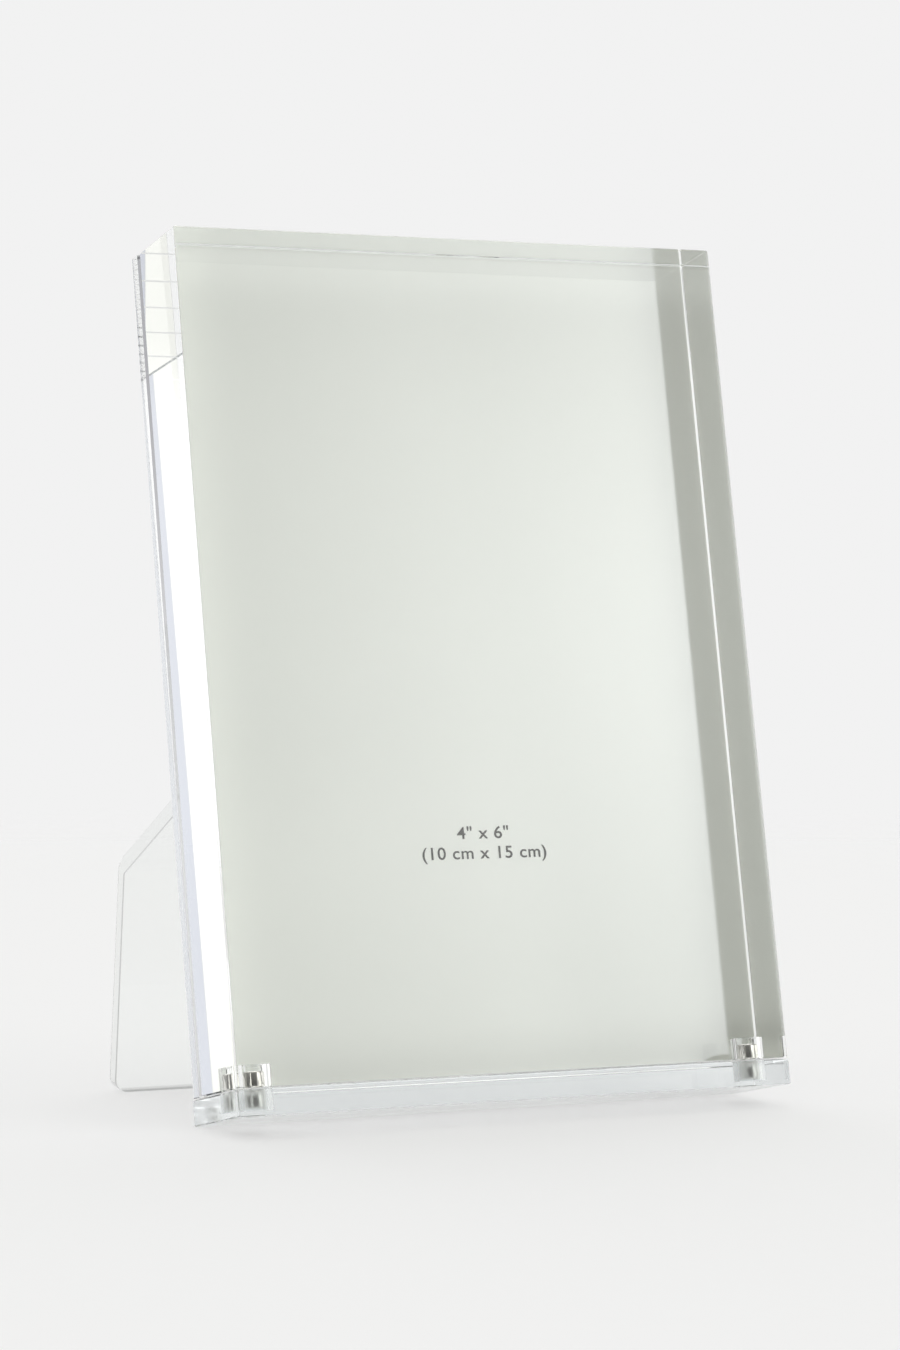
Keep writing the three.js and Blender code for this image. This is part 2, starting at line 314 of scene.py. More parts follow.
class Value:
    """A shader socket. Arithmetic on it adds Math nodes to its tree."""

    def __init__(self, tree, socket):
        self.tree = tree
        self.socket = socket

    def _math(self, operation, *terms, clamp=False):
        node = self.tree.nodes.new("ShaderNodeMath")
        node.operation = operation
        node.use_clamp = clamp
        for place, term in enumerate(terms):
            if isinstance(term, Value):
                self.tree.links.new(term.socket, node.inputs[place])
            else:
                node.inputs[place].default_value = term
        return Value(self.tree, node.outputs[0])

    def __add__(self, other):
        return self._math("ADD", self, other)

    def __sub__(self, other):
        return self._math("SUBTRACT", self, other)

    def __mul__(self, other):
        return self._math("MULTIPLY", self, other)

    def __truediv__(self, other):
        return self._math("DIVIDE", self, other)

    def __pow__(self, other):
        return self._math("POWER", self, other)

    def __neg__(self):
        return self._math("MULTIPLY", self, -1.0)

    def __rsub__(self, other):
        return self._math("SUBTRACT", other, self)

    __radd__ = __add__
    __rmul__ = __mul__

    def least(self, other):
        return self._math("MINIMUM", self, other)

    def most(self, other):
        return self._math("MAXIMUM", self, other)

    def size(self):
        return self._math("ABSOLUTE", self)

    def sine(self):
        return self._math("SINE", self)

    def arc_sine(self):
        return self._math("ARCSINE", self)

    def arc_tangent(self):
        return self._math("ARCTANGENT", self)

    def held(self):
        """The value kept from 0 to 1"""
        return self._math("ADD", self, 0.0, clamp=True)

    def ramp(self, low, high):
        """0 below low, 1 above high, and a smooth rise between"""
        t = ((self - low) / (high - low)).held()
        return t * t * (3.0 - 2.0 * t)

    def between(self, rise, fall):
        """0, then a rise over one span, then 1, and then a fall over another"""
        return self.ramp(*rise) * (1.0 - self.ramp(*fall))


class Shader:
    """A node tree being filled, for a material or a world"""

    def __init__(self, owner):
        owner.use_nodes = True
        self.tree = owner.node_tree
        self.tree.nodes.clear()

    def node(self, kind, settings=None, **sockets):
        """Adds a node: its settings first, then values or links for its sockets by name"""
        made = self.tree.nodes.new(kind)
        for name, value in (settings or {}).items():
            setattr(made, name, value)
        for name, value in sockets.items():
            self.feed(made, name.replace("_", " "), value)
        return made

    def feed(self, node, name, value):
        socket = node.inputs[int(name)] if name.isdigit() else node.inputs[name]
        if isinstance(value, Value):
            self.tree.links.new(value.socket, socket)
        else:
            socket.default_value = value

    def out(self, node, name=0):
        return Value(self.tree, node.outputs[name])

    def place(self, kind="Object"):
        """Object coordinates in metres, or another of the coordinates that a surface has"""
        return self.out(self.node("ShaderNodeTexCoord"), kind)

    def parts(self, vector):
        """The three numbers of a vector"""
        made = self.node("ShaderNodeSeparateXYZ", Vector=vector)
        return tuple(self.out(made, axis) for axis in "XYZ")

    def noise(self, vector, scale, detail=3.0, roughness=0.5):
        made = self.node(
            "ShaderNodeTexNoise", {"noise_dimensions": "3D"},
            Vector=vector, Scale=scale, Detail=detail, Roughness=roughness)
        return self.out(made, "Fac")

    def stretched(self, vector, factors, turn=(0, 0, 0)):
        """The vector scaled along each axis, for streaks"""
        made = self.node("ShaderNodeMapping", Vector=vector, Scale=factors, Rotation=turn)
        return self.out(made, 0)

    def colours(self, factor, low, high):
        """Mixes two colours by a factor"""
        mix = self.node("ShaderNodeMix", {"data_type": "RGBA"})
        self.feed(mix, "0", factor)
        for name, colour in (("6", low), ("7", high)):
            self.feed(mix, name, colour if isinstance(colour, Value) else (*colour, 1.0))
        return self.out(mix, 2)

    def bump(self, height, distance, strength=1.0):
        made = self.node("ShaderNodeBump", Height=height, Distance=distance, Strength=strength)
        return self.out(made, 0)

    def dot(self, vector, way):
        made = self.node("ShaderNodeVectorMath", {"operation": "DOT_PRODUCT"})
        for place, value in enumerate((vector, way)):
            self.feed(made, str(place), value)
        return self.out(made, "Value")

    def scale(self, vector, factor):
        made = self.node("ShaderNodeVectorMath", {"operation": "SCALE"}, Scale=factor)
        self.feed(made, "0", vector)
        return self.out(made, "Vector")

    def mixed(self, factor, first, second):
        made = self.node("ShaderNodeMixShader")
        for place, part in enumerate((factor, first, second)):
            self.feed(made, str(place), part)
        return self.out(made)

    def principled(self, **sockets):
        return self.out(self.node("ShaderNodeBsdfPrincipled", **sockets))

    def clear(self, colour):
        """Lets light straight through in one even colour"""
        return self.out(self.node("ShaderNodeBsdfTransparent", Color=(*colour, 1.0)))

    def emission(self, level):
        return self.out(self.node("ShaderNodeEmission", Color=(level, level, level, 1.0), Strength=1.0))

    def finish(self, surface, kind="ShaderNodeOutputMaterial"):
        self.node(kind, Surface=surface)


def new_material(name):
    material = bpy.data.materials.new(name)
    return material, Shader(material)


def scaled(colour, factor):
    return tuple(min(1.0, c * factor) for c in colour)


# Materials

def polished_acrylic(name, tint, lit_through=False, calm=False, satin=0.0, shade=1.0, under=1.0,
                     pockets=None, mouth=None):
    """Clear cast acrylic: polished faces, satin ends and matt walls in drilled pockets. Calm acrylic has
    no haze and no waves. A mouth is a saw-cut arris at the front of the left edge, which carries painted
    shade of the slot, pale below one height and dark above another. Where it is lit through, lamps reach
    what lies behind the front and back faces, but not past the edges. The shade is what each face lets
    through to matt surfaces, where it is under 1, and under is the same for the underside."""
    material, shader = new_material(name)
    vector = shader.place()
    x, _, z = shader.parts(vector)
    normal = shader.place("Normal")
    out, up = shader.dot(normal, FACE_OUT), shader.dot(normal, FACE_UP)
    waves = shader.noise(vector, 9.0, 1.0)
    roughness, relief = 0.0, {}
    if not calm:
        roughness = 0.003 * shader.noise(vector, 55.0, 2.0).ramp(0.3, 0.8)
        relief["Normal"] = shader.bump(waves, 0.02 * MM, 0.05)
    if satin:
        end = shader.dot(normal, (1.0, 0.0, 0.0)).size().ramp(*FACING)
        roughness = roughness + end * satin
    if pockets:
        centres, reach = pockets
        wall_zone = ((reach + 0.4 * MM) ** 2, (reach + 0.6 * MM) ** 2)
        depth = -shader.dot(vector, FACE_OUT)
        drilled = sum(
            1.0 - ((x - place) ** 2.0 + (depth - back) ** 2.0).ramp(*wall_zone)
            for place, back in centres)
        rings = (shader.dot(vector, FACE_UP) * TOOL_MARKS).sine()
        roughness = roughness + drilled * (1.0 - up.size().ramp(*POCKET_WALL)) * (0.4 + 0.03 * rings)
    colour = shader.colours(waves, scaled(tint, 0.985), tint)
    if mouth:
        dark, pale = mouth
        grain = shader.noise(shader.stretched(vector, (9000, 9000, 700)), 1.0, 2.0)
        cut = shader.dot(normal, (-1.0, 0.0, 0.0)).between(MOUTH_LEFT, MOUTH_END)
        cut = cut * out.ramp(*MOUTH_FRONT)
        # Painted shade of the slot on the saw-cut arris, pale near the bar and dark at the top
        colour = shader.colours(cut, colour, shader.colours(z.ramp(*MOUTH_SHADE_RISE), pale, dark))
        roughness = roughness + cut * 0.3 * (0.8 + 0.4 * grain)
    surface = shader.principled(
        Base_Color=colour, Roughness=roughness, IOR=ACRYLIC_INDEX, Transmission_Weight=1.0, **relief)
    path = shader.node("ShaderNodeLightPath")
    if lit_through:
        lamp_path = shader.out(path, "Is Shadow Ray") * out.size().ramp(*FACING_OUT)
        surface = shader.mixed(lamp_path, surface, shader.clear((0.92,) * 3))
    if shade < 1.0:
        below = shader.dot(normal, (0.0, 0.0, -1.0)).ramp(*FACING_DOWN)
        dimmed = shader.mixed(below, shader.clear((shade,) * 3), shader.clear((under,) * 3))
        surface = shader.mixed(shader.out(path, "Is Diffuse Ray"), surface, dimmed)
    shader.finish(surface)
    return material


def thin_acrylic(name, tint, foot, shade):
    """Clear sheet that shows what lies behind it unbent. Its cut sides and their rounded corners bend
    light as a solid block does, through dark glass that paints a shaded outline. Below the height of the
    foot its end is darkened by painted shade where it meets the table. The shade is what it lets through to
    matt surfaces."""
    material, shader = new_material(name)
    vector = shader.place()
    height = shader.parts(vector)[2]
    cloud = shader.noise(vector, 30.0, 2.0)
    # Painted shade: the end below the foot's height lets less light through, where it meets the table
    toe = 1.0 - height.ramp(foot, foot + 0.25 * MM)
    clear = shader.mixed(toe, shader.clear(tint), shader.clear(scaled(tint, 0.78)))
    gloss = shader.out(shader.node("ShaderNodeBsdfGlossy", Roughness=0.02 + 0.02 * cloud))
    mirror = shader.out(shader.node("ShaderNodeFresnel", IOR=ACRYLIC_INDEX))
    face = shader.mixed((mirror * 0.5).least(0.06), clear, gloss)
    # Painted shade: the cut sides' dark glass draws a shaded outline
    solid = shader.principled(
        Base_Color=shader.colours(cloud, scaled(tint, 0.36), scaled(tint, 0.42)), Roughness=0.03 * cloud,
        IOR=ACRYLIC_INDEX, Transmission_Weight=1.0)
    turned = shader.dot(shader.place("Normal"), (1.0, 0.0, 0.0)).size()
    corner = turned.ramp(*LEG_CORNER) * (1.0 - 0.9 * turned.ramp(*LEG_END))
    surface = shader.mixed(corner, face, solid)
    path = shader.node("ShaderNodeLightPath")
    shader.finish(shader.mixed(shader.out(path, "Is Diffuse Ray"), surface, shader.clear((shade,) * 3)))
    return material


def card_face(name, colour, edge_turn):
    """Matt card: a grey-white coat with faint mottle and fibres"""
    material, shader = new_material(name)
    vector = shader.place()
    cloud = shader.noise(vector, 28.0, 3.0)
    fibre = shader.noise(shader.stretched(vector, (2200, 2200, 500), edge_turn), 1.0, 4.0)
    tone = (cloud - 0.5) * 0.5 + (fibre - 0.5) * 0.12 + 0.5
    base = shader.colours(tone.held(), scaled(colour, 0.965), scaled(colour, 1.035))
    surface = shader.principled(
        Base_Color=base, Roughness=0.55 + 0.12 * (fibre - 0.5), Specular_IOR_Level=0.35,
        Normal=shader.bump(fibre, 0.01 * MM, 0.35))
    shader.finish(surface)
    return material


def printed_ink(name, colour):
    """Black ink with slightly uneven cover"""
    material, shader = new_material(name)
    vector = shader.place()
    speck = shader.noise(vector, 3500.0, 3.0)
    base = shader.colours(speck.ramp(0.55, 0.8), colour, scaled(tuple(c + 0.03 for c in colour), 1.5))
    shader.finish(shader.principled(Base_Color=base, Roughness=0.45 + 0.1 * speck))
    return material


def nickel_plate(name, colour):
    """Bright nickel over a pressed magnet: fine scratches and a faint cloud"""
    material, shader = new_material(name)
    vector = shader.place()
    cloud = shader.noise(vector, 420.0, 3.0)
    scratch = shader.noise(shader.stretched(vector, (9000, 9000, 700), (0.4, 0.9, 0.2)), 1.0, 2.0)
    base = shader.colours(cloud, scaled(colour, 0.9), scaled(colour, 1.08))
    surface = shader.principled(
        Base_Color=base, Metallic=1.0, Roughness=0.03 + 0.06 * cloud * scratch.ramp(0.4, 0.7),
        Normal=shader.bump(scratch, 0.01 * MM, 0.25))
    shader.finish(surface)
    return material


def crossed_glass(shader, path):
    """1 in light that has gone through clear pieces from edge to edge, with many turns on the way"""
    return shader.out(path, "Is Transmission Ray") * shader.out(path, "Ray Depth").ramp(*MANY_TURNS)


def table_top(name, colour, level, shade, gleam):
    """Plain pale table, matt, which fades into the background away from the object. What the camera,
    mirrors and glass see of it is partly its plain level, so that it keeps only a soft shadow. Light
    that has crossed the glass from edge to edge also finds a painted reflection on it, behind at the right:
    a glowing patch that stands in for the reflection of the strip."""
    material, shader = new_material(name)
    vector = shader.place()
    x, y, _ = shader.parts(vector)
    grain = shader.noise(vector, 260.0, 4.0)
    base = shader.colours(grain, scaled(colour, 0.995), scaled(colour, 1.005))
    top = shader.principled(Base_Color=base, Roughness=0.9, Specular_IOR_Level=0.0)
    path = shader.node("ShaderNodeLightPath")
    seen = sum(shader.out(path, kind) for kind in ("Is Camera Ray", "Is Glossy Ray", "Is Transmission Ray"))
    top = shader.mixed(seen.least(1.0) * (1.0 - shade), top, shader.emission(level))
    # Painted reflection: a glowing patch on the table, seen only in light that crossed the glass
    across, back, light = gleam
    far = ((x - across) ** 2.0 + (y - back) ** 2.0) ** 0.5
    lit = crossed_glass(shader, path) * (1.0 - far.ramp(*PAINTED_GLEAM_FADE))
    top = shader.mixed(lit, top, shader.emission(light))
    clear = shader.out(shader.node("ShaderNodeBsdfTransparent"))
    away = ((x ** 2.0 + y ** 2.0) ** 0.5).ramp(*TABLE_FADE)
    shader.finish(shader.mixed(away, top, clear))
    return material


# Mesh building

def mesh_object(name, vertices, faces, material):
    """A mesh from arrays, smooth except at sharp folds"""
    mesh = bpy.data.meshes.new(name)
    mesh.from_pydata(vertices.tolist(), [], faces if isinstance(faces, list) else faces.tolist())
    mesh.shade_smooth()
    mesh.set_sharp_from_angle(angle=FOLD_ANGLE)
    mesh.materials.append(material)
    made = bpy.data.objects.new(name, mesh)
    bpy.context.scene.collection.objects.link(made)
    return made


def tube_faces(rings, around):
    """Quads between rings of points that each close on themselves, and a polygon at each end"""
    row = np.arange(rings - 1)[:, None] * around
    here = np.arange(around)[None, :]
    after = (here + 1) % around
    quads = np.stack([row + here, row + after, row + around + after, row + around + here], -1)
    ends = [list(range(around))[::-1], list(range((rings - 1) * around, rings * around))]
    return quads.reshape(-1, 4).tolist() + ends


def grid_faces(rows, columns):
    """Quads between the points of a grid"""
    index = np.arange(rows * columns).reshape(rows, columns)
    return np.stack([index[:-1, :-1], index[:-1, 1:], index[1:, 1:], index[1:, :-1]], -1).reshape(-1, 4)


def face_extent(node):
    """Least and greatest place of a node's points across, back from and up the face"""
    mesh = frame["nodes"][node].data
    points = np.empty(len(mesh.vertices) * 3)
    mesh.vertices.foreach_get("co", points)
    spans = points.reshape(-1, 3) @ np.stack([ACROSS, BACK, UP], 1)
    return spans.min(0), spans.max(0)


def face_point(across, depth, rise):
    """The point with these places across, back from and up the face"""
    return across[..., None] * ACROSS + depth[..., None] * BACK + rise[..., None] * UP


def rounded_section(half_width, half_thickness, radius, steps=4):
    """Points round a rectangle with quarter-circle corners. The halves are arrays over rings."""
    angle = np.linspace(0, np.pi / 2, steps + 1)
    turns = np.concatenate([angle + quarter * np.pi / 2 for quarter in range(4)])
    right = np.repeat([1, -1, -1, 1], steps + 1)
    top = np.repeat([1, 1, -1, -1], steps + 1)
    across = right * (half_width[:, None] - radius) + radius * np.cos(turns)
    through = top * (half_thickness[:, None] - radius) + radius * np.sin(turns)
    return across, through


def filleted_line(corners, radius, steps):
    """A plane line through the corners with each inner corner a circular arc, with its tangents"""
    points, tangents = [corners[0][None]], [(corners[1] - corners[0])[None]]
    for before, corner, after in zip(corners, corners[1:], corners[2:]):
        into = (corner - before) / np.linalg.norm(corner - before)
        out = (after - corner) / np.linalg.norm(after - corner)
        turn = math.atan2(into[0] * out[1] - into[1] * out[0], float(into @ out))
        side = np.array([-into[1], into[0]]) * np.sign(turn)
        centre = corner - into * radius * math.tan(abs(turn) / 2) + side * radius
        angle = np.linspace(0, abs(turn), steps + 1)[:, None]
        points.append(centre - side * radius * np.cos(angle) + into * radius * np.sin(angle))
        tangents.append(into * np.cos(angle) + side * np.sin(angle))
    points.append(corners[-1][None])
    tangents.append((corners[-1] - corners[-2])[None])
    tangents = np.concatenate(tangents)
    return np.concatenate(points), tangents / np.linalg.norm(tangents, axis=1)[:, None]


def leg_surface(sizes):
    """The bent sheet: a rounded section carried along a centre line with two arcs. Near the toe the
    section's half width follows a quarter circle, which rounds the foot's corners."""
    low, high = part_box("easel_leg")
    up = np.array([FACE_UP.y, FACE_UP.z])
    arm = np.array([math.cos(sizes.leg_arm_drop), -math.sin(sizes.leg_arm_drop)])
    foot = np.array([math.sin(sizes.leg_foot_splay), -math.cos(sizes.leg_foot_splay)])
    half = sizes.leg_thickness / 2
    top = np.zeros(2)
    bend = top - up * sizes.leg_flange
    knee = bend + arm * sizes.leg_arm
    rise_of_top = half * abs(up[0])
    knee_z = knee[1] + (high.z - low.z) - rise_of_top
    run = (knee_z - half * foot[0]) / -foot[1]
    toe = knee + foot * run
    line, tangent = filleted_line([top, bend, knee, toe], sizes.leg_bend_radius + half, BEND_STEPS)
    corner = sizes.leg_corner
    quarter = np.linspace(0, np.pi / 2, CORNER_STEPS + 1)
    end = toe - foot * (corner - corner * np.sin(quarter))[:, None]
    line = np.concatenate([line[:-1], end])
    tangent = np.concatenate([tangent[:-1], np.repeat(foot[None], len(quarter), 0)])
    half_width = np.full(len(line), (high.x - low.x) / 2)
    half_width[-len(quarter):] -= corner * (1 - np.cos(quarter))
    across, through = rounded_section(half_width, np.full(len(line), half), sizes.sheet_arris)
    normal = np.stack([tangent[:, 1], -tangent[:, 0]], -1)
    plane = line[:, None] + through[..., None] * normal[:, None]
    shift = np.array([high.y, low.z]) - np.array([plane[..., 0].max(), plane[..., 1].min()])
    plane = plane + shift
    vertices = np.concatenate([across[..., None], plane], -1)
    return vertices.reshape(-1, 3), tube_faces(*across.shape)


def slab_surface(low, high, arris, mouth):
    """A flat slab with a flat taken off every edge: four rings of a cut-cornered rectangle up the face,
    the first and the last drawn in by the arris. The flat at the front of the left edge is as wide as
    the mouth: there across + through = -half width - half thickness + mouth."""
    middle, half = (low + high) / 2, (high - low) / 2
    drawn_in = arris * np.array([1, 0, 0, 1])
    across, through = rounded_section(half[0] - drawn_in, half[1] - drawn_in, arris, 1)
    left, front = (drawn_in - half[0])[:, None], (drawn_in - half[1])[:, None]
    at_front = (across < 0) & (np.abs(through - front) < 1e-9)
    at_left = (through < 0) & (np.abs(across - left) < 1e-9)
    across = np.where(at_front, left + mouth, across)
    through = np.where(at_left, front + mouth, through)
    rise = np.array([low[2], low[2] + arris, high[2] - arris, high[2]])
    vertices = face_point(middle[0] + across, middle[1] + through, rise[:, None] + 0 * across)
    return vertices.reshape(-1, 3), tube_faces(*across.shape)


def disc_surface(low, high, rim, around=96, steps=5):
    """A disc about its own leaning axis: a profile of face, quarter-circle rim, wall and rim, turned
    about the line through its middle along the way up the face. Each face is closed by a polygon at a
    share of the radius."""
    centre = np.array((low + high) / 2)
    radius = (high.x - low.x) / 2
    inner = radius * 0.55
    tall = ((high.z - low.z) - 2 * radius * abs(BACK[2])) / UP[2]
    angle = np.linspace(0, np.pi / 2, steps + 1)
    lower_r = radius - rim + rim * np.sin(angle)
    lower_h = -tall / 2 + rim - rim * np.cos(angle)
    reach = np.concatenate([[inner], lower_r, lower_r[::-1], [inner]])
    height = np.concatenate([[-tall / 2], lower_h, -lower_h[::-1], [tall / 2]])
    turn = np.linspace(0, 2 * np.pi, around, endpoint=False)
    ring = np.cos(turn)[:, None] * ACROSS + np.sin(turn)[:, None] * BACK
    vertices = centre + reach[:, None, None] * ring + height[:, None, None] * UP
    return vertices.reshape(-1, 3), tube_faces(len(reach), around)


def card_surface(low, high, thickness, wave, columns=60, rows=84):
    """A thin closed sheet: front and back grids whose depth adds two slow sine waves"""
    u, v = np.meshgrid(np.linspace(-0.5, 0.5, columns), np.linspace(-0.5, 0.5, rows))
    bow = wave * (0.6 * np.sin(3.1 * u + 4.3 * v + 0.6) + 0.4 * np.sin(7.0 * v - 2.0 * u))
    middle, size = (low + high) / 2, high - low
    across, rise = middle[0] + size[0] * u, middle[2] + size[2] * v
    front = face_point(across, middle[1] + bow - thickness / 2, rise)
    rear = face_point(across, middle[1] + bow + thickness / 2, rise)
    count = rows * columns
    cells, index = grid_faces(rows, columns), np.arange(count).reshape(rows, columns)
    edge = np.concatenate([index[0, :-1], index[:-1, -1], index[-1, :0:-1], index[:0:-1, 0]])
    after = np.roll(edge, -1)
    wall = np.stack([edge, edge + count, after + count, after], -1)
    faces = np.concatenate([cells, cells[:, ::-1] + count, wall])
    return np.concatenate([front.reshape(-1, 3), rear.reshape(-1, 3)]), faces


# Operators

class FRAME_OT_clear_pieces(bpy.types.Operator):
    """Gives the block and the bar their polished acrylic"""
    bl_idname = "photo_frame.clear_pieces"
    bl_label = "Block and bar"

    def execute(self, context):
        colours = context.scene.frame_colours
        discs = [face_extent("lower_magnet_" + side) for side in ("left", "right")]
        centres = [tuple((low + high)[:2] / 2) for low, high in discs]
        reach = (discs[0][1] - discs[0][0])[0] / 2 + context.scene.frame_sizes.pocket_clearance
        finishes = {
            "front_block": polished_acrylic("block_acrylic", colours.acrylic, lit_through=True),
            # The bar's darker tint is painted shade
            "base_bar": polished_acrylic(
                "bar_acrylic", colours.bar, satin=0.1, shade=0.88, under=0.82,
                pockets=(centres, reach))}
        for name, acrylic in finishes.items():
            piece = frame["nodes"][name]
            piece.data.materials.clear()
            piece.data.materials.append(acrylic)
        return {"FINISHED"}


class FRAME_OT_plate(bpy.types.Operator):
    """Makes the clear back plate with its edges eased"""
    bl_idname = "photo_frame.plate"
    bl_label = "Back plate"

    def execute(self, context):
        low, high = face_extent("back_plate")
        sizes, colours = context.scene.frame_sizes, context.scene.frame_colours
        vertices, faces = slab_surface(low, high, sizes.plate_arris, sizes.slot_mouth)
        # The mouth's two colours are painted shade of the slot
        acrylic = polished_acrylic(
            "plate_acrylic", colours.acrylic, calm=True, satin=0.05, shade=0.86, under=0.86,
            mouth=(tuple(colours.slot_top), tuple(colours.slot_foot)))
        plate = mesh_object("eased_back_plate", vertices, faces, acrylic)
        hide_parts("back_plate")
        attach(plate, "stand")
        return {"FINISHED"}


class FRAME_OT_figures(bpy.types.Operator):
    """Prints the size of the photograph that fits on the card, as plain numbers"""
    bl_idname = "photo_frame.figures"
    bl_label = "Figures"

    def execute(self, context):
        sizes = context.scene.frame_sizes
        ink = printed_ink("black_ink", context.scene.frame_colours.ink)
        front = face_extent("photo_insert")[0][1]
        across, rise = sizes.figure_place
        for row, (name, words) in enumerate((("inches", '4" x 6"'), ("centimetres", "(10 cm x 15 cm)"))):
            outline = bpy.data.curves.new(name, "FONT")
            outline.body = words
            outline.align_x = "CENTER"
            outline.align_y = "CENTER"
            outline.size = sizes.figure_height / FIGURE_SHARE
            outline.offset = sizes.figure_weight
            outline.space_character = FIGURE_SPACING
            outline.extrude = INK_DEPTH
            drawn = bpy.data.objects.new(name + "_outline", outline)
            context.scene.collection.objects.link(drawn)
            context.view_layer.update()
            mesh = bpy.data.meshes.new_from_object(drawn)
            bpy.data.objects.remove(drawn)
            bpy.data.curves.remove(outline)
            middle = face_point(
                np.array(across), front - INK_STAND, np.array(rise - row * sizes.figure_step))
            turn = Matrix((ACROSS, UP, -BACK)).transposed().to_4x4()
            wide = Matrix.Diagonal((sizes.figure_stretch, 1, 1, 1))
            mesh.transform(Matrix.Translation(middle) @ turn @ wide)
            mesh.materials.clear()
            mesh.materials.append(ink)
            line = bpy.data.objects.new("printed_" + name, mesh)
            context.scene.collection.objects.link(line)
            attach(line, "insert")
        return {"FINISHED"}


class FRAME_OT_leg(bpy.types.Operator):
    """Makes the bent leg with fine bends and rounded edges"""
    bl_idname = "photo_frame.leg"
    bl_label = "Leg"

    def execute(self, context):
        vertices, faces = leg_surface(context.scene.frame_sizes)
        foot = float(vertices[:, 2].min()) + context.scene.frame_sizes.sheet_arris
        acrylic = thin_acrylic("leg_acrylic", context.scene.frame_colours.sheet, foot, shade=0.84)
        leg = mesh_object("bent_leg", vertices, faces, acrylic)
        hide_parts("easel_leg")
        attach(leg, "stand")
        return {"FINISHED"}


class FRAME_OT_card(bpy.types.Operator):
    """Makes the card between the block and the back plate"""
    bl_idname = "photo_frame.card"
    bl_label = "Card"

    def execute(self, context):
        sizes = context.scene.frame_sizes
        low, high = face_extent("photo_insert")
        spare = (high - low) * ACROSS * sizes.card_trim
        shift = sizes.card_shift * ACROSS
        vertices, faces = card_surface(
            low + spare + shift, high - spare + shift, sizes.card_thickness, sizes.card_wave)
        lean = math.atan2(FACE_OUT.z, -FACE_OUT.y)
        stock = card_face("card_stock", context.scene.frame_colours.card, (lean, 0, 0))
        card = mesh_object("card", vertices, faces, stock)
        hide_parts("photo_insert")
        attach(card, "insert")
        return {"FINISHED"}


class FRAME_OT_magnets(bpy.types.Operator):
    """Makes the four nickel-plated disc magnets with rounded rims"""
    bl_idname = "photo_frame.magnets"
    bl_label = "Magnets"

    def execute(self, context):
        nickel = nickel_plate("nickel_plate", context.scene.frame_colours.nickel)
        for level, body in (("upper", "block"), ("lower", "stand")):
            for side in ("left", "right"):
                node = f"{level}_magnet_{side}"
                vertices, faces = disc_surface(*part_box(node), context.scene.frame_sizes.rim_radius)
                disc = mesh_object(f"{level}_disc_{side}", vertices, faces, nickel)
                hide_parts(node)
                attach(disc, body)
        return {"FINISHED"}


class FRAME_OT_stage(bpy.types.Operator):
    """Makes the table top, the light around the object and the camera"""
    bl_idname = "photo_frame.stage"
    bl_label = "Stage"

    def execute(self, context):
        scene = context.scene
        settings = scene.stage_settings
        make_table(scene, settings)
        make_room(scene, settings)
        make_key(scene, settings)
        make_camera(scene, settings)
        scene.view_settings.view_transform = "Standard"
        scene.cycles.max_bounces = MAX_BOUNCES
        scene.cycles.transmission_bounces = scene.cycles.glossy_bounces = GLASS_BOUNCES
        scene.cycles.blur_glossy = 0.0
        return {"FINISHED"}


def make_table(scene, settings):
    """A flat grid at the height of the object's foot"""
    side = np.linspace(-TABLE_REACH, TABLE_REACH, TABLE_POINTS)
    x, y = np.meshgrid(side, side)
    vertices = np.stack([x.ravel(), y.ravel(), np.full(x.size, CAD_BOX[0].z)], -1)
    finish = table_top(
        "table_top", scene.frame_colours.floor, settings.background, settings.floor_shade,
        (*settings.gleam_place, settings.gleam_light))
    table = mesh_object("table", vertices, grid_faces(*x.shape), finish)


def level_way(azimuth, height):
    """The unit vector turned from -Y towards +X by the azimuth, and raised by the height"""
    return Vector((
        math.sin(azimuth) * math.cos(height), -math.cos(azimuth) * math.cos(height), math.sin(height)))


def room_sides(settings, right, z):
    """Light at both sides, less of it at the left"""
    sides = right.ramp(*RIGHT_SIDE) + (-right).ramp(*LEFT_SIDE) * LEFT_SHARE
    return sides * (1.0 - z.size().ramp(*SIDES_TOP)) * settings.side_light


def front_strip(settings, x, y, z):
    """The light of an upright strip in front at the right, whose left edge leans a little, and how much
    a way lies in the narrow dimmer border outside that edge"""
    turned = (x / (-y).most(0.001)).arc_tangent()
    lean, lean_more = STRIP_LEAN
    edge = settings.strip_azimuth + z.ramp(*STRIP_LEAN_RISE) * (lean + lean_more * z.arc_sine())
    inside = turned - edge
    span = z.between(STRIP_FOOT, STRIP_HEAD) * (1.0 - y.ramp(*STRIP_FRONT))
    white = inside.ramp(*STRIP_SHARP) * (1.0 - turned.ramp(*STRIP_TURNED_END)) * span
    white = white * (1.0 + STRIP_BELOW_EXTRA - STRIP_BELOW_EXTRA * z.ramp(*STRIP_BELOW))
    bright = STRIP_BRIGHT * z.between(STRIP_BRIGHT_FOOT, STRIP_BRIGHT_HEAD)
    light = white * (1.0 - STRIP_DIMMED * z.ramp(*STRIP_DIMMING) + bright) * settings.strip_light
    return light, inside.between(STRIP_BORDER, STRIP_SHARP) * span


def light_behind(shader, settings, path, parts, right):
    """Even light behind, with a dark part at the left, more overhead and an upright strip at the right.
    The strip doesn't show straight through clear walls, but only in light that crossed them from edge
    to edge."""
    x, y, z = parts
    dark = (-right).ramp(*DARK_LEFT) * z.ramp(*DARK_ABOVE)
    level = (1.0 - dark * (1.0 - settings.side_dark)) * settings.back_light
    level = level + z.most(0.0) ** 2.0 * settings.back_top_light
    turned = (x / y.most(0.001)).arc_tangent()
    strip = turned.between(BACK_STRIP_TURNED, BACK_STRIP_TURNED_END) * (1.0 - z.ramp(*BACK_STRIP_HEAD))
    few_turns = 1.0 - shader.out(path, "Ray Depth").ramp(*MANY_TURNS)
    strip = strip * (1.0 - shader.out(path, "Is Transmission Ray") * few_turns)
    return level + strip * (settings.back_strip - settings.back_light)


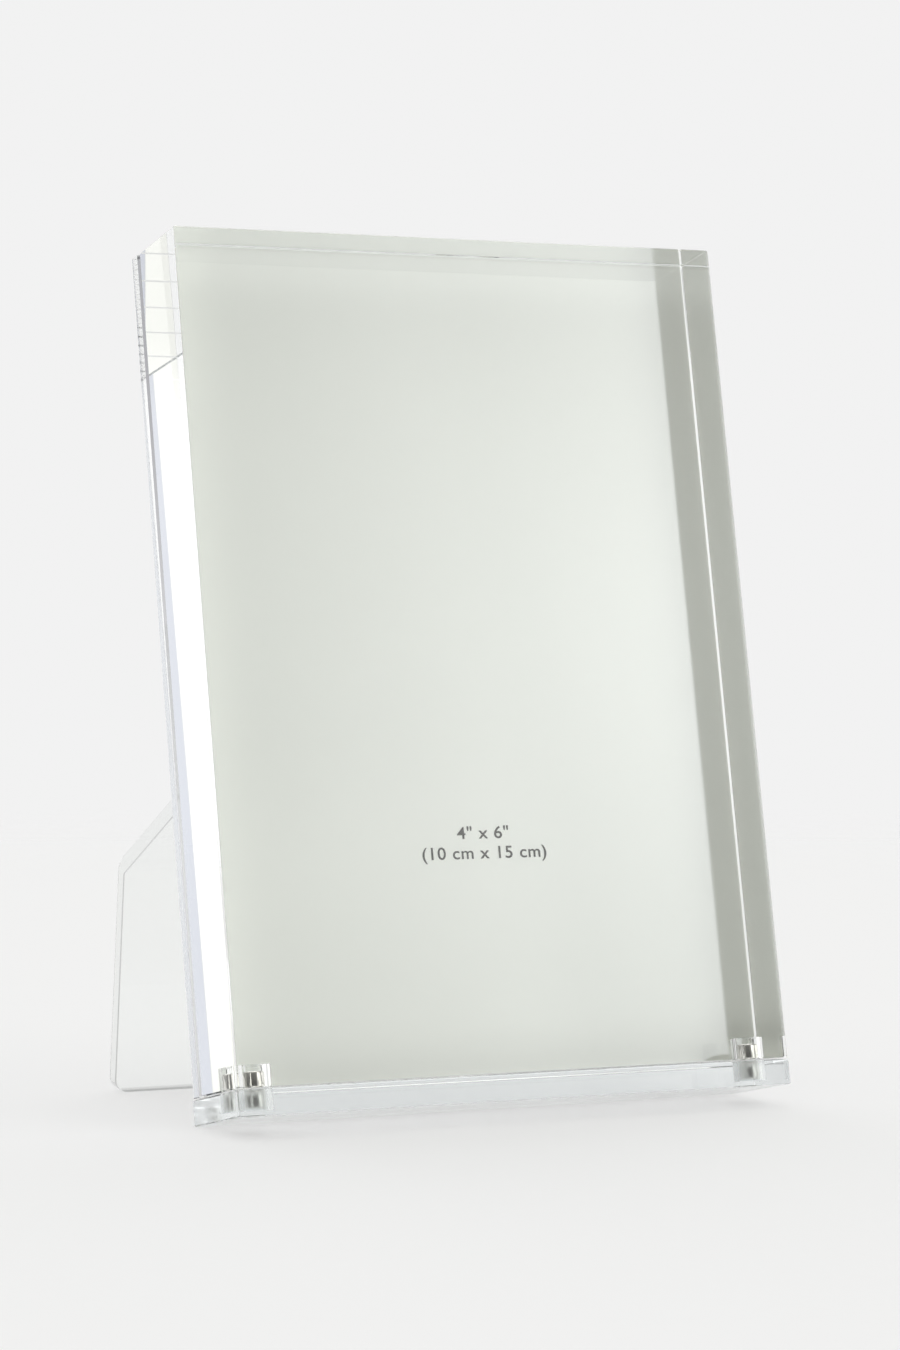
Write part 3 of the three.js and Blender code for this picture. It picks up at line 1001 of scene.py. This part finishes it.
def make_room(scene, settings):
    """A studio as one sky: even behind the object, dim in front and brighter overhead, with soft glows
    at the right. The camera sees the plain background instead."""
    world = bpy.data.worlds.new("studio")
    scene.world = world
    shader = Shader(world)
    way = shader.place("Generated")
    x, y, z = parts = shader.parts(way)
    axis = settings.view_azimuth
    toward = (-(x * math.sin(axis)) - y * math.cos(axis)).ramp(*TOWARD_CAMERA)
    right = x * math.cos(axis) - y * math.sin(axis)
    front = settings.front_light * (1.0 - CAMERA_DIMMED * toward)
    front = front + z.most(0.0) ** 2.0 * settings.top_light + room_sides(settings, right, z)
    for azimuth, height, power, level in GLOWS:
        front = front + shader.dot(way, level_way(azimuth, height)).most(0.0) ** power * level
    strip, border = front_strip(settings, x, y, z)
    ambient = shader.scale(settings.ambient, front + strip)
    ambient = shader.colours(border, ambient, settings.strip_edge)
    path = shader.node("ShaderNodeLightPath")
    behind = shader.scale((1.0, 1.0, 1.0), light_behind(shader, settings, path, parts, right))
    room = shader.colours(y.ramp(*FRONT_TO_BACK), ambient, behind)
    seen = shader.colours(shader.out(path, "Is Camera Ray"), room, (settings.background,) * 3)
    light = shader.node("ShaderNodeBackground", Color=seen, Strength=1.0)
    shader.finish(shader.out(light), "ShaderNodeOutputWorld")
    world.cycles.sampling_method = "NONE"


def aim(made, place, ahead):
    """Stands a lamp or the camera at a place and points it ahead, upright"""
    made.location = place
    made.rotation_mode = "QUATERNION"
    made.rotation_quaternion = ahead.to_track_quat("-Z", "Y")


def make_key(scene, settings):
    """A small spot at the right, close to the face. It lights the card through the block. A spot of
    4 pi squared watts gives a white sheet that faces it at one metre a level of 1."""
    lamp = bpy.data.lights.new("key", "SPOT")
    lamp.shadow_soft_size = settings.key_radius
    lamp.spot_size = settings.key_cone
    lamp.spot_blend = KEY_BLEND
    lamp.color = settings.key_colour
    lamp.energy = settings.key_light * 4 * math.pi ** 2 * settings.key_distance ** 2
    key = bpy.data.objects.new("key", lamp)
    low, high = face_extent("front_block")
    middle = (low + high) / 2
    out = settings.key_distance * math.cos(settings.key_azimuth)
    aside = settings.key_distance * math.sin(settings.key_azimuth)
    place = Vector(face_point(
        np.array(high[0] + aside), np.array(low[1] - out), np.array(middle[2] + settings.key_rise)))
    target = Vector(face_point(np.array(middle[0]), np.array(high[1]), np.array(middle[2])))
    aim(key, place, target - place)
    for kind in ("camera", "glossy", "transmission"):
        setattr(key, "visible_" + kind, False)
    scene.collection.objects.link(key)
    lit = bpy.data.collections.new("lit by key")
    for piece in [piece for piece in scene.objects if piece.type == "MESH" and piece.name != "table"]:
        lit.objects.link(piece)
    key.light_linking.receiver_collection = lit


def make_camera(scene, settings):
    """The camera, which sees the whole object from the front left"""
    camera = bpy.data.objects.new("camera", bpy.data.cameras.new("camera"))
    scene.collection.objects.link(camera)
    scene.camera = camera
    azimuth, pitch = settings.view_azimuth, settings.view_pitch
    ahead = level_way(math.pi - azimuth, -pitch)
    aim(camera, Vector(settings.camera_place), ahead)
    camera.data.sensor_width = SENSOR_WIDTH
    camera.data.lens = settings.lens
    camera.data.clip_start, camera.data.clip_end = CLIP


class FRAME_PT_panel(bpy.types.Panel):
    """Lists the steps and their values"""
    bl_idname = "FRAME_PT_panel"
    bl_label = "Photo Frame"
    bl_space_type = "VIEW_3D"
    bl_region_type = "UI"
    bl_category = "Photo Frame"

    def draw(self, context):
        layout = self.layout
        for group in (context.scene.frame_sizes, context.scene.frame_colours, context.scene.stage_settings):
            box = layout.box()
            for name in group.__annotations__:
                box.prop(group, name)
        for step in STEPS:
            layout.operator(step.bl_idname)


STEPS = (
    FRAME_OT_clear_pieces, FRAME_OT_plate, FRAME_OT_leg, FRAME_OT_card, FRAME_OT_figures,
    FRAME_OT_magnets, FRAME_OT_stage)
GROUPS = {"frame_sizes": FrameSizes, "frame_colours": FrameColours, "stage_settings": StageSettings}


def register():
    for kind in (*GROUPS.values(), *STEPS, FRAME_PT_panel):
        bpy.utils.register_class(kind)
    for name, kind in GROUPS.items():
        setattr(bpy.types.Scene, name, PointerProperty(type=kind))


def unregister():
    for name in GROUPS:
        delattr(bpy.types.Scene, name)
    for kind in reversed((*GROUPS.values(), *STEPS, FRAME_PT_panel)):
        bpy.utils.unregister_class(kind)


def main():
    register()
    bpy.ops.photo_frame.clear_pieces()
    bpy.ops.photo_frame.plate()
    bpy.ops.photo_frame.leg()
    bpy.ops.photo_frame.card()
    bpy.ops.photo_frame.figures()
    bpy.ops.photo_frame.magnets()
    bpy.ops.photo_frame.stage()


if __name__ == "__main__":
    main()
